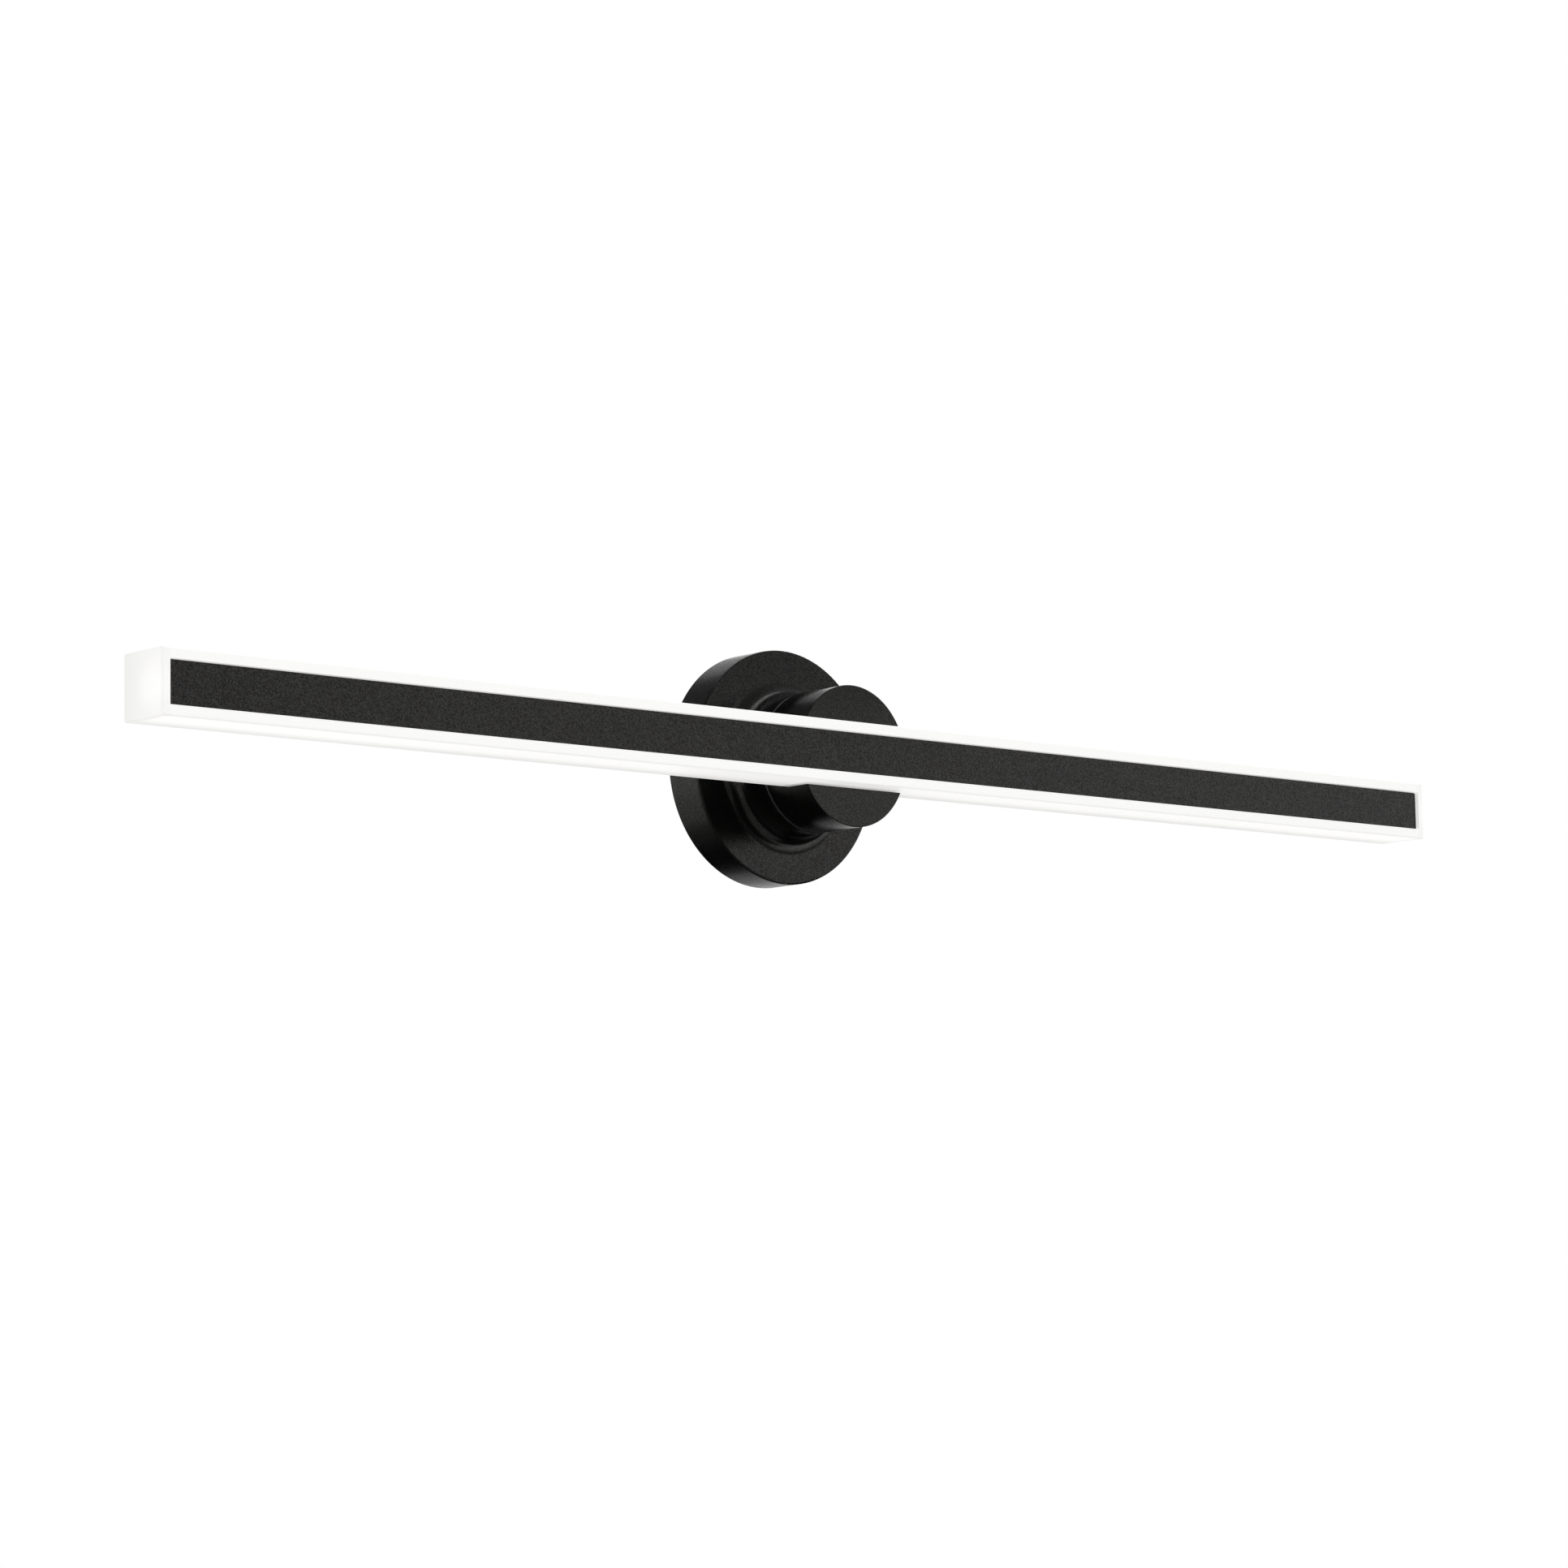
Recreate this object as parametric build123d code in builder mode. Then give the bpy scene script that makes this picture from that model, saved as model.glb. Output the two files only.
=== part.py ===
"""Vanity light bar: a lit acrylic bar held in the slot of a round head that turns on a wall canopy.

Millimetres. The origin is the centre of the canopy's back, on the wall. +X runs along the bar to the right
as seen from the room, +Y points into the wall and +Z is up. Depths are counted from the wall into the room.
"""
import os

from build123d import *

os.makedirs("parts", exist_ok=True)

# Driving sizes, seen from outside
bar_length = 914.4
bar_section = 33.5
bar_reach = 90.0
canopy_diameter = 130.0
canopy_depth = 22.2
stem_diameter = 77.6
stem_reach = 78.2
seam_depth = 45.5
plate_height = 22.0
plate_end_margin = 4.3
plate_recess = 2.0

# Clearances
running_gap = 0.05
thread_gap = 0.05
hole_gap = 0.3
seam_gap = 1.0
slot_gap = 1.0

# Sizes that several pieces share
canopy_radius = canopy_diameter / 2
stem_radius = stem_diameter / 2
bar_half = bar_section / 2
bar_back = bar_reach - bar_section
hub_back = seam_depth + seam_gap
hub_web = bar_back - hub_back
rim_wall = 4.0
cavity_radius = canopy_radius - rim_wall
gasket_depth = 3.0
gasket_rebate = 2.0
gasket_width = 4.7
rebate_radius = canopy_radius - gasket_rebate
gasket_radius = rebate_radius - hole_gap
gasket_inner_radius = gasket_radius - gasket_width
small_screw_radius = 1.5
screw_radius = 2.0
screw_head_radius = 3.6
screw_head_height = 2.4
small_edge = 0.4
moulded_corner = 1.0
lead_radius = 1.6
supply_lead_radius = 0.9
earth_lead_radius = 1.0
tight_lead_bend = 4.0
same_place = 0.01


def at_depth(depth):
    """Plane parallel to the wall that faces the room, at a depth in front of the wall."""
    return Plane.XZ.offset(depth)


def across(x):
    """Plane square to the bar that faces right, at a distance along the bar."""
    return Plane.YZ.offset(x)


def round_edges(part, radius, depth):
    """The circular edges of a part that have this radius and lie at this depth."""
    def fits(edge):
        return abs(edge.radius - radius) < same_place and abs(edge.arc_center.Y + depth) < same_place
    return part.edges().filter_by(GeomType.CIRCLE).filter_by(fits)


def room_point(x, depth, z):
    """Point given by its place along the bar, its depth from the wall and its height."""
    return (x, -depth, z)


# Mounting bracket: pressed steel strap with two tabs bent towards the room.
# Each slot reaches from the closer to the wider screw spacing of a wall box.
bracket_thickness = 1.5
bracket_width = 24.0
bracket_end_gap = 2.5
bracket_half = gasket_inner_radius - bracket_end_gap
bracket_inside = bracket_half - bracket_thickness
bend_radius = 2.0
box_spacing_close = 69.85
box_spacing_wide = 88.9
box_screw_hole_radius = 2.6
slot_spacing = (box_spacing_close + box_spacing_wide) / 2
slot_length = (box_spacing_wide - box_spacing_close) / 2 + 2 * box_screw_hole_radius
tab_reach = 16.5
side_screw_depth = 11.0
earth_screw_x = 23.0


def bend_edges(part, half, depth):
    """The upright edges of a part that lie at this distance on either side and at this depth."""
    def fits(edge):
        middle = edge.center()
        return abs(abs(middle.X) - half) < same_place and abs(middle.Y + depth) < same_place
    return part.edges().filter_by(Axis.Z).filter_by(fits)


with BuildPart() as mounting_bracket:
    with BuildSketch(at_depth(0)):
        Rectangle(2 * bracket_half, bracket_width)
    extrude(amount=bracket_thickness)
    with BuildSketch(at_depth(0)):
        with Locations((-bracket_half + bracket_thickness / 2, 0), (bracket_half - bracket_thickness / 2, 0)):
            Rectangle(bracket_thickness, bracket_width)
    extrude(amount=tab_reach)
    fillet(bend_edges(mounting_bracket, bracket_half, 0), bend_radius)
    fillet(bend_edges(mounting_bracket, bracket_inside, bracket_thickness), bend_radius - bracket_thickness)
    with BuildSketch(at_depth(0)):
        with Locations((-slot_spacing / 2, 0), (slot_spacing / 2, 0)):
            SlotOverall(slot_length, 2 * box_screw_hole_radius)
        with Locations((earth_screw_x, 0)):
            Circle(screw_radius + thread_gap)
    extrude(amount=bracket_thickness, mode=Mode.SUBTRACT)
    with BuildSketch(across(-bracket_half)):
        with Locations((-side_screw_depth, 0)):
            Circle(screw_radius + thread_gap)
    extrude(amount=2 * bracket_half, mode=Mode.SUBTRACT)
mounting_bracket.part.label = "mounting_bracket"
export_step(mounting_bracket.part, "parts/mounting_bracket.step")

# Canopy: one casting with the stem's rear stub, hollow from the wall side.
# The stub's front wall carries the turning joint; the bosses inside take the side screws and the driver.
canopy_wall = 2.7
canopy_edge_radius = 1.0
stem_cove = 10.0
stub_wall = 2.8
stub_front_wall = 5.0
canopy_inner_depth = canopy_depth - canopy_wall
stub_inner_depth = seam_depth - stub_front_wall
rim_boss_width = 12.0
rim_boss_top = 6.0
side_screw_spotface = 1.0
side_screw_seat = canopy_radius - side_screw_spotface
bolt_radius = 5.0
stop_pin_radius = 2.0
stop_pin_circle = 28.0
stop_groove_depth = 3.0
stop_groove_width = 2 * (stop_pin_radius + hole_gap)
turn_range = 180
driver_side_gap = 17.5
driver_half = bracket_half - driver_side_gap
driver_low_gap = 2.0
driver_low = bracket_width / 2 + driver_low_gap
driver_top_gap = 19.0
driver_high = cavity_radius - driver_top_gap
driver_middle = (driver_low + driver_high) / 2
driver_boss_offset = 5.0
driver_boss_x = driver_half + driver_boss_offset
driver_boss_radius = 3.6
driver_ear_depth = 12.0
driver_boss_places = ((driver_boss_x, driver_middle), (-driver_boss_x, driver_middle))

with BuildPart() as canopy:
    with BuildSketch(at_depth(0)):
        Circle(canopy_radius)
    extrude(amount=canopy_depth)
    with BuildSketch(at_depth(0)):
        Circle(stem_radius)
    extrude(amount=seam_depth)
    fillet(round_edges(canopy, stem_radius, canopy_depth), stem_cove)
    fillet(round_edges(canopy, canopy_radius, canopy_depth), canopy_edge_radius)
    chamfer(round_edges(canopy, stem_radius, seam_depth), small_edge)
    with BuildSketch(at_depth(0)):
        Circle(cavity_radius)
    extrude(amount=canopy_inner_depth, mode=Mode.SUBTRACT)
    with BuildSketch(at_depth(0)):
        Circle(rebate_radius)
    extrude(amount=gasket_depth, mode=Mode.SUBTRACT)
    with BuildSketch(at_depth(0)):
        Circle(stem_radius - stub_wall)
    extrude(amount=stub_inner_depth, mode=Mode.SUBTRACT)
    with BuildSketch(at_depth(rim_boss_top)):
        with Locations((bracket_half + rim_wall, 0), (-bracket_half - rim_wall, 0)):
            Rectangle(2 * rim_wall, rim_boss_width)
    extrude(amount=canopy_depth - canopy_wall / 2 - rim_boss_top)
    with BuildSketch(at_depth(driver_ear_depth)):
        with Locations(*driver_boss_places):
            Circle(driver_boss_radius)
    extrude(amount=canopy_depth - canopy_wall / 2 - driver_ear_depth)
    with BuildSketch(at_depth(driver_ear_depth)):
        with Locations(*driver_boss_places):
            Circle(small_screw_radius + thread_gap)
    extrude(amount=canopy_inner_depth - driver_ear_depth, mode=Mode.SUBTRACT)
    with BuildSketch(across(-canopy_radius)):
        with Locations((-side_screw_depth, 0)):
            Circle(screw_radius + hole_gap)
    extrude(amount=canopy_diameter, mode=Mode.SUBTRACT)
    with BuildSketch(across(side_screw_seat), across(-canopy_radius)):
        with Locations((-side_screw_depth, 0)):
            Circle(screw_head_radius + hole_gap)
    extrude(amount=side_screw_spotface, mode=Mode.SUBTRACT)
    with BuildSketch(at_depth(stub_inner_depth)):
        Circle(bolt_radius + running_gap)
    extrude(amount=stub_front_wall, mode=Mode.SUBTRACT)
    with BuildSketch(at_depth(seam_depth - stop_groove_depth)):
        stop_arc = CenterArc((0, 0), stop_pin_circle, -turn_range / 2, turn_range)
        SlotArc(stop_arc, stop_groove_width)
    extrude(amount=stop_groove_depth, mode=Mode.SUBTRACT)
canopy.part.label = "canopy"
export_step(canopy.part, "parts/canopy.step")

# Wall gasket: foam ring stuck in the rebate of the rear rim
with BuildPart() as wall_gasket:
    with BuildSketch(at_depth(0)):
        Circle(gasket_radius)
        Circle(gasket_inner_radius, mode=Mode.SUBTRACT)
    extrude(amount=gasket_depth)
wall_gasket.part.label = "wall_gasket"
export_step(wall_gasket.part, "parts/wall_gasket.step")

# Canopy screws: two pan heads through the rim into the bracket's tabs
side_screw_length = side_screw_seat - bracket_inside

with BuildPart() as canopy_screws:
    for side in (1, -1):
        seat_middle = room_point(side * side_screw_seat, side_screw_depth, 0)
        seat = Plane(origin=seat_middle, x_dir=(0, 1, 0), z_dir=(side, 0, 0))
        with BuildSketch(seat):
            Circle(screw_head_radius)
        extrude(amount=screw_head_height)
        with BuildSketch(seat):
            Circle(screw_radius)
        extrude(amount=-side_screw_length)
canopy_screws.part.label = "canopy_screws"
export_step(canopy_screws.part, "parts/canopy_screws.step")

# Driver case: plastic tray with two ears that stand on the canopy's bosses
driver_length = 2 * driver_half
driver_height = driver_high - driver_low
driver_back = 4.5
driver_wall = 1.5
driver_lid_thickness = 1.5
ear_thickness = 2.0
ear_width = 10.0
ear_overhang = 4.5
board_thickness = 1.6
board_back = 15.0
board_gap = 1.0
live_entry_rise = 3.5
entry_spacing = 3.5
live_entry_z = driver_low + live_entry_rise
neutral_entry_z = live_entry_z + entry_spacing
supply_depth = board_back - supply_lead_radius
driver_lead_x = 20.0
driver_lead_depth = board_back - lead_radius
board_post_radius = 1.5
board_post_inset = 3.0
board_length = driver_length - 2 * driver_wall - 2 * board_gap
board_height = driver_height - 2 * driver_wall - 2 * board_gap
post_spacing_x = board_length - 2 * board_post_inset
post_spacing_z = board_height - 2 * board_post_inset

with BuildPart() as driver_case:
    with BuildSketch(at_depth(driver_back + driver_lid_thickness)):
        with Locations((0, driver_middle)):
            Rectangle(driver_length, driver_height)
    extrude(amount=canopy_inner_depth - driver_back - driver_lid_thickness)
    with BuildSketch(at_depth(driver_back + driver_lid_thickness)):
        with Locations((0, driver_middle)):
            Rectangle(driver_length - 2 * driver_wall, driver_height - 2 * driver_wall)
    extrude(amount=canopy_inner_depth - driver_wall - driver_back - driver_lid_thickness, mode=Mode.SUBTRACT)
    with BuildSketch(at_depth(driver_ear_depth - ear_thickness)):
        for side in (1, -1):
            ear_end = driver_boss_x + ear_overhang
            with Locations((side * (ear_end + driver_half - driver_wall / 2) / 2, driver_middle)):
                Rectangle(ear_end - driver_half + driver_wall / 2, ear_width)
    extrude(amount=ear_thickness)
    with BuildSketch(at_depth(driver_ear_depth - ear_thickness)):
        with Locations(*driver_boss_places):
            Circle(small_screw_radius + hole_gap)
    extrude(amount=ear_thickness, mode=Mode.SUBTRACT)
    with BuildSketch(at_depth(board_back + board_thickness)):
        with Locations((0, driver_middle)):
            with GridLocations(post_spacing_x, post_spacing_z, 2, 2):
                Circle(board_post_radius)
    extrude(amount=canopy_inner_depth - driver_wall / 2 - board_back - board_thickness)
    with BuildSketch(across(-driver_half)):
        with Locations((-supply_depth, live_entry_z), (-supply_depth, neutral_entry_z)):
            Circle(supply_lead_radius + hole_gap)
    extrude(amount=driver_wall, mode=Mode.SUBTRACT)
    with BuildSketch(Plane.XY.offset(driver_low)):
        with Locations((driver_lead_x, -driver_lead_depth)):
            Circle(lead_radius + hole_gap)
    extrude(amount=driver_wall, mode=Mode.SUBTRACT)
driver_case.part.label = "driver_case"
export_step(driver_case.part, "parts/driver_case.step")

# Driver lid: flat cover with a locating rim inside the tray
lid_rim = 1.2

with BuildPart() as driver_lid:
    with BuildSketch(at_depth(driver_back)):
        with Locations((0, driver_middle)):
            Rectangle(driver_length, driver_height)
    extrude(amount=driver_lid_thickness)
    rim_length = driver_length - 2 * driver_wall - 2 * hole_gap
    rim_height = driver_height - 2 * driver_wall - 2 * hole_gap
    with BuildSketch(at_depth(driver_back + driver_lid_thickness)):
        with Locations((0, driver_middle)):
            Rectangle(rim_length, rim_height)
            Rectangle(rim_length - 2 * lid_rim, rim_height - 2 * lid_rim, mode=Mode.SUBTRACT)
    extrude(amount=lid_rim)
driver_lid.part.label = "driver_lid"
export_step(driver_lid.part, "parts/driver_lid.step")

# Driver board with its transformer and capacitors
with BuildPart() as driver_board:
    with BuildSketch(at_depth(board_back)):
        with Locations((0, driver_middle)):
            Rectangle(board_length, board_height)
    extrude(amount=board_thickness)
driver_board.part.label = "driver_board"
export_step(driver_board.part, "parts/driver_board.step")

transformer_x = -2.0
transformer_length = 16.0
transformer_height = 14.0
transformer_depth = 8.0

with BuildPart() as driver_transformer:
    with BuildSketch(at_depth(board_back)):
        with Locations((transformer_x, driver_middle)):
            RectangleRounded(transformer_length, transformer_height, moulded_corner)
    extrude(amount=-transformer_depth)
driver_transformer.part.label = "driver_transformer"
export_step(driver_transformer.part, "parts/driver_transformer.step")

capacitor_left_inset = 15.5
capacitor_right_inset = 8.5
capacitor_left_x = -board_length / 2 + capacitor_left_inset
capacitor_right_x = board_length / 2 - capacitor_right_inset
capacitor_radius = 4.0
capacitor_depth = 7.5

with BuildPart() as driver_capacitors:
    with BuildSketch(at_depth(board_back)):
        with Locations((capacitor_left_x, driver_middle), (capacitor_right_x, driver_middle)):
            Circle(capacitor_radius)
    extrude(amount=-capacitor_depth)
    chamfer(driver_capacitors.faces().sort_by(Axis.Y)[-2:].edges(), small_edge)
driver_capacitors.part.label = "driver_capacitors"
export_step(driver_capacitors.part, "parts/driver_capacitors.step")

# Driver screws: thread-forming screws through the ears into the bosses
driver_screw_head_radius = 2.8
driver_screw_head_height = 2.0
driver_screw_length = 8.0

with BuildPart() as driver_screws:
    with BuildSketch(at_depth(driver_ear_depth - ear_thickness)):
        with Locations(*driver_boss_places):
            Circle(driver_screw_head_radius)
    extrude(amount=-driver_screw_head_height)
    with BuildSketch(at_depth(driver_ear_depth - ear_thickness)):
        with Locations(*driver_boss_places):
            Circle(small_screw_radius)
    extrude(amount=driver_screw_length)
driver_screws.part.label = "driver_screws"
export_step(driver_screws.part, "parts/driver_screws.step")

# Terminal block: push-in block stuck to the inside of the canopy, its three entries facing the wall
terminal_length = 26.0
terminal_rim_gap = 6.0
terminal_height = 13.0
terminal_low = -cavity_radius + terminal_rim_gap
terminal_high = terminal_low + terminal_height
terminal_middle = (terminal_low + terminal_high) / 2
terminal_depth = 10.0
terminal_entry_spacing = 8.0
terminal_entry_radius = 1.6
terminal_entry_depth = 6.0
lead_seat = 4.0
live_exit_drop = 3.0
neutral_exit_drop = 8.0
live_exit_z = terminal_high - live_exit_drop
neutral_exit_z = terminal_high - neutral_exit_drop
earth_exit_z = terminal_middle
earth_exit_depth = 14.5
terminal_back = canopy_inner_depth - terminal_depth
terminal_half = terminal_length / 2

with BuildPart() as terminal_block:
    with BuildSketch(at_depth(terminal_back)):
        with Locations((0, terminal_middle)):
            RectangleRounded(terminal_length, terminal_height, moulded_corner)
    extrude(amount=terminal_depth)
    with BuildSketch(at_depth(terminal_back)):
        with Locations((0, terminal_middle)):
            with GridLocations(terminal_entry_spacing, 1, 3, 1):
                Circle(terminal_entry_radius)
    extrude(amount=terminal_entry_depth, mode=Mode.SUBTRACT)
    with BuildSketch(across(-terminal_half)):
        with Locations((-supply_depth, live_exit_z), (-supply_depth, neutral_exit_z)):
            Circle(supply_lead_radius + hole_gap)
    extrude(amount=lead_seat, mode=Mode.SUBTRACT)
    with BuildSketch(across(terminal_half)):
        with Locations((-earth_exit_depth, earth_exit_z)):
            Circle(earth_lead_radius + hole_gap)
    extrude(amount=-lead_seat, mode=Mode.SUBTRACT)
terminal_block.part.label = "terminal_block"
export_step(terminal_block.part, "parts/terminal_block.step")

# Supply leads: insulated wires from the terminal block round the left of the stem to the driver
lead_bend = 5.0
lead_inner_reach = 4.0
supply_slant_height = 20.0
tab_lead_gap = 7.5
climb_spacing = 4.0
lead_rim_gap = 1.0
neutral_climb_x = -bracket_half + tab_lead_gap
live_climb_x = neutral_climb_x + climb_spacing
lead_corner_radius = cavity_radius - lead_rim_gap
neutral_corner_x = -(lead_corner_radius**2 - neutral_exit_z**2) ** 0.5
supply_slant_width = neutral_corner_x - neutral_climb_x


def supply_path(exit_z, climb_x, entry_z):
    """Corner points of a lead that leaves the block leftwards, climbs at climb_x and enters the driver."""
    return (
        room_point(-terminal_half + lead_seat, supply_depth, exit_z),
        room_point(climb_x + supply_slant_width, supply_depth, exit_z),
        room_point(climb_x, supply_depth, exit_z + supply_slant_height),
        room_point(climb_x, supply_depth, entry_z),
        room_point(-driver_half + lead_inner_reach, supply_depth, entry_z),
    )


with BuildPart() as live_lead:
    with BuildLine():
        FilletPolyline(*supply_path(live_exit_z, live_climb_x, live_entry_z), radius=lead_bend)
    with BuildSketch(across(-terminal_half + lead_seat)):
        with Locations((-supply_depth, live_exit_z)):
            Circle(supply_lead_radius)
    sweep()
live_lead.part.label = "live_lead"
export_step(live_lead.part, "parts/live_lead.step")

with BuildPart() as neutral_lead:
    with BuildLine():
        FilletPolyline(*supply_path(neutral_exit_z, neutral_climb_x, neutral_entry_z), radius=lead_bend)
    with BuildSketch(across(-terminal_half + lead_seat)):
        with Locations((-supply_depth, neutral_exit_z)):
            Circle(supply_lead_radius)
    sweep()
neutral_lead.part.label = "neutral_lead"
export_step(neutral_lead.part, "parts/neutral_lead.step")

# Earth screw, ring terminal and lead: they join the bracket to the block's earth entry
earth_ring_thickness = 0.8
earth_ring_radius = 4.0
earth_barrel_radius = 1.6
earth_barrel_top = -6.5
earth_barrel_bottom = -12.0
earth_tongue_overlap = 2.0
earth_lead_rise = 12.0
earth_lead_run = 10.0
earth_wire_depth = bracket_thickness + earth_barrel_radius

with BuildPart() as earth_ring:
    with BuildSketch(at_depth(bracket_thickness)):
        with Locations((earth_screw_x, 0)):
            Circle(earth_ring_radius)
        with Locations((earth_screw_x, earth_barrel_top / 2)):
            Rectangle(2 * earth_barrel_radius, -earth_barrel_top + earth_tongue_overlap)
        with Locations((earth_screw_x, 0)):
            Circle(screw_radius + hole_gap, mode=Mode.SUBTRACT)
    extrude(amount=earth_ring_thickness)
    with BuildSketch(Plane.XY.offset(earth_barrel_bottom)):
        with Locations((earth_screw_x, -earth_wire_depth)):
            Circle(earth_barrel_radius)
    extrude(amount=earth_barrel_top - earth_barrel_bottom)
earth_ring.part.label = "earth_ring"
export_step(earth_ring.part, "parts/earth_ring.step")

with BuildPart() as earth_screw:
    with BuildSketch(at_depth(bracket_thickness + earth_ring_thickness)):
        with Locations((earth_screw_x, 0)):
            Circle(screw_head_radius)
    extrude(amount=screw_head_height)
    with BuildSketch(at_depth(0)):
        with Locations((earth_screw_x, 0)):
            Circle(screw_radius)
    extrude(amount=bracket_thickness + earth_ring_thickness)
earth_screw.part.label = "earth_screw"
export_step(earth_screw.part, "parts/earth_screw.step")

with BuildPart() as earth_lead:
    with BuildLine():
        FilletPolyline(
            room_point(terminal_half - lead_seat, earth_exit_depth, earth_exit_z),
            room_point(earth_screw_x, earth_exit_depth, earth_exit_z),
            room_point(earth_screw_x, earth_exit_depth, earth_exit_z + earth_lead_rise),
            room_point(earth_screw_x, earth_wire_depth, earth_barrel_bottom - earth_lead_run),
            room_point(earth_screw_x, earth_wire_depth, earth_barrel_bottom),
            radius=tight_lead_bend,
        )
    with BuildSketch(across(terminal_half - lead_seat)):
        with Locations((-earth_exit_depth, earth_exit_z)):
            Circle(earth_lead_radius)
    sweep()
earth_lead.part.label = "earth_lead"
export_step(earth_lead.part, "parts/earth_lead.step")

# Slip washer: steel disc on the stub's front, whose edge shows in the seam, with an arc slot for the stop pin
bolt_clear_radius = 8.0
slip_washer_setback = 0.3

with BuildPart() as slip_washer:
    with BuildSketch(at_depth(seam_depth)):
        Circle(stem_radius - slip_washer_setback)
        Circle(bolt_clear_radius, mode=Mode.SUBTRACT)
        stop_arc = CenterArc((0, 0), stop_pin_circle, -turn_range / 2, turn_range)
        SlotArc(stop_arc, stop_groove_width, mode=Mode.SUBTRACT)
    extrude(amount=seam_gap)
slip_washer.part.label = "slip_washer"
export_step(slip_washer.part, "parts/slip_washer.step")

# Bar hub: cast round head, cored from behind, with a slot across it for the bar.
# The web behind the slot takes the hollow bolt, the stop pin and the two bar screws.
slot_half = bar_half + slot_gap
hub_wall = 4.0
bolt_head_radius = 8.0
bolt_head_height = 3.5
bolt_head_gap = 0.5
bolt_counterbore = bolt_head_height + bolt_head_gap
bar_screw_x = 18.0
bar_screw_head_height = 3.5
bar_screw_counterbore = bar_screw_head_height + hole_gap
stop_pin_seat = hub_web / 2
bolt_seat_depth = bar_back - bolt_counterbore
bar_screw_seat = hub_back + bar_screw_counterbore

with BuildPart() as bar_hub:
    with BuildSketch(at_depth(hub_back)):
        Circle(stem_radius)
    extrude(amount=stem_reach - hub_back)
    chamfer(round_edges(bar_hub, stem_radius, hub_back), small_edge)
    with BuildSketch(at_depth(bar_back)):
        Rectangle(2 * stem_diameter, 2 * slot_half)
    extrude(amount=stem_reach - bar_back, mode=Mode.SUBTRACT)
    chamfer(round_edges(bar_hub, stem_radius, stem_reach), small_edge)
    with BuildSketch(at_depth(hub_back)):
        Circle(stem_radius - hub_wall)
        Rectangle(stem_diameter, 2 * (slot_half + hub_wall), mode=Mode.SUBTRACT)
    extrude(amount=stem_reach - hub_wall - hub_back, mode=Mode.SUBTRACT)
    with BuildSketch(at_depth(hub_back)):
        Circle(bolt_radius + hole_gap)
        with Locations((bar_screw_x, 0), (-bar_screw_x, 0)):
            Circle(screw_radius + hole_gap)
    extrude(amount=hub_web, mode=Mode.SUBTRACT)
    with BuildSketch(at_depth(bolt_seat_depth)):
        Circle(bolt_head_radius + hole_gap)
    extrude(amount=bolt_counterbore, mode=Mode.SUBTRACT)
    with BuildSketch(at_depth(hub_back)):
        with Locations((bar_screw_x, 0), (-bar_screw_x, 0)):
            Circle(screw_head_radius + hole_gap)
    extrude(amount=bar_screw_counterbore, mode=Mode.SUBTRACT)
    with BuildSketch(at_depth(hub_back)):
        with Locations((stop_pin_circle, 0)):
            Circle(stop_pin_radius + running_gap)
    extrude(amount=stop_pin_seat, mode=Mode.SUBTRACT)
bar_hub.part.label = "bar_hub"
export_step(bar_hub.part, "parts/bar_hub.step")

# Turning joint: hollow bolt from the slot through the stub's wall, with washers and a nut inside
bolt_bore = 3.5
thrust_thickness = 1.0
thrust_radius = 9.0
spring_height = 1.2
spring_thickness = 0.6
nut_thickness = 5.0
nut_radius = 8.6
bolt_tail = 0.8
spring_depth = stub_inner_depth - thrust_thickness
nut_depth = spring_depth - spring_height
bolt_back = nut_depth - nut_thickness - bolt_tail

with BuildPart() as swivel_bolt:
    with BuildSketch(at_depth(bolt_seat_depth)):
        RegularPolygon(bolt_head_radius, 6)
    extrude(amount=bolt_head_height)
    with BuildSketch(at_depth(bolt_back)):
        Circle(bolt_radius)
    extrude(amount=bolt_seat_depth - bolt_back)
    with BuildSketch(at_depth(bolt_back)):
        Circle(bolt_bore)
    extrude(amount=bolt_seat_depth + bolt_head_height - bolt_back, mode=Mode.SUBTRACT)
swivel_bolt.part.label = "swivel_bolt"
export_step(swivel_bolt.part, "parts/swivel_bolt.step")

with BuildPart() as thrust_washer:
    with BuildSketch(at_depth(spring_depth)):
        Circle(thrust_radius)
        Circle(bolt_radius + hole_gap, mode=Mode.SUBTRACT)
    extrude(amount=thrust_thickness)
thrust_washer.part.label = "thrust_washer"
export_step(thrust_washer.part, "parts/thrust_washer.step")

with BuildPart() as spring_washer:
    with BuildSketch(Plane.XY):
        with BuildLine():
            Polyline(
                (bolt_radius + hole_gap, -nut_depth),
                (bolt_radius + hole_gap, -nut_depth - spring_thickness),
                (thrust_radius, -spring_depth),
                (thrust_radius, -spring_depth + spring_thickness),
                close=True,
            )
        make_face()
    revolve(axis=Axis.Y)
spring_washer.part.label = "spring_washer"
export_step(spring_washer.part, "parts/spring_washer.step")

with BuildPart() as swivel_nut:
    with BuildSketch(at_depth(nut_depth - nut_thickness)):
        RegularPolygon(nut_radius, 6)
        Circle(bolt_radius + thread_gap, mode=Mode.SUBTRACT)
    extrude(amount=nut_thickness)
swivel_nut.part.label = "swivel_nut"
export_step(swivel_nut.part, "parts/swivel_nut.step")

# Stop pin: pressed into the hub's web, its end runs in the stub's arc groove
with BuildPart() as stop_pin:
    with BuildSketch(at_depth(seam_depth - stop_groove_depth + hole_gap)):
        with Locations((stop_pin_circle, 0)):
            Circle(stop_pin_radius)
    extrude(amount=hub_back + stop_pin_seat - seam_depth + stop_groove_depth - hole_gap)
stop_pin.part.label = "stop_pin"
export_step(stop_pin.part, "parts/stop_pin.step")

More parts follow.
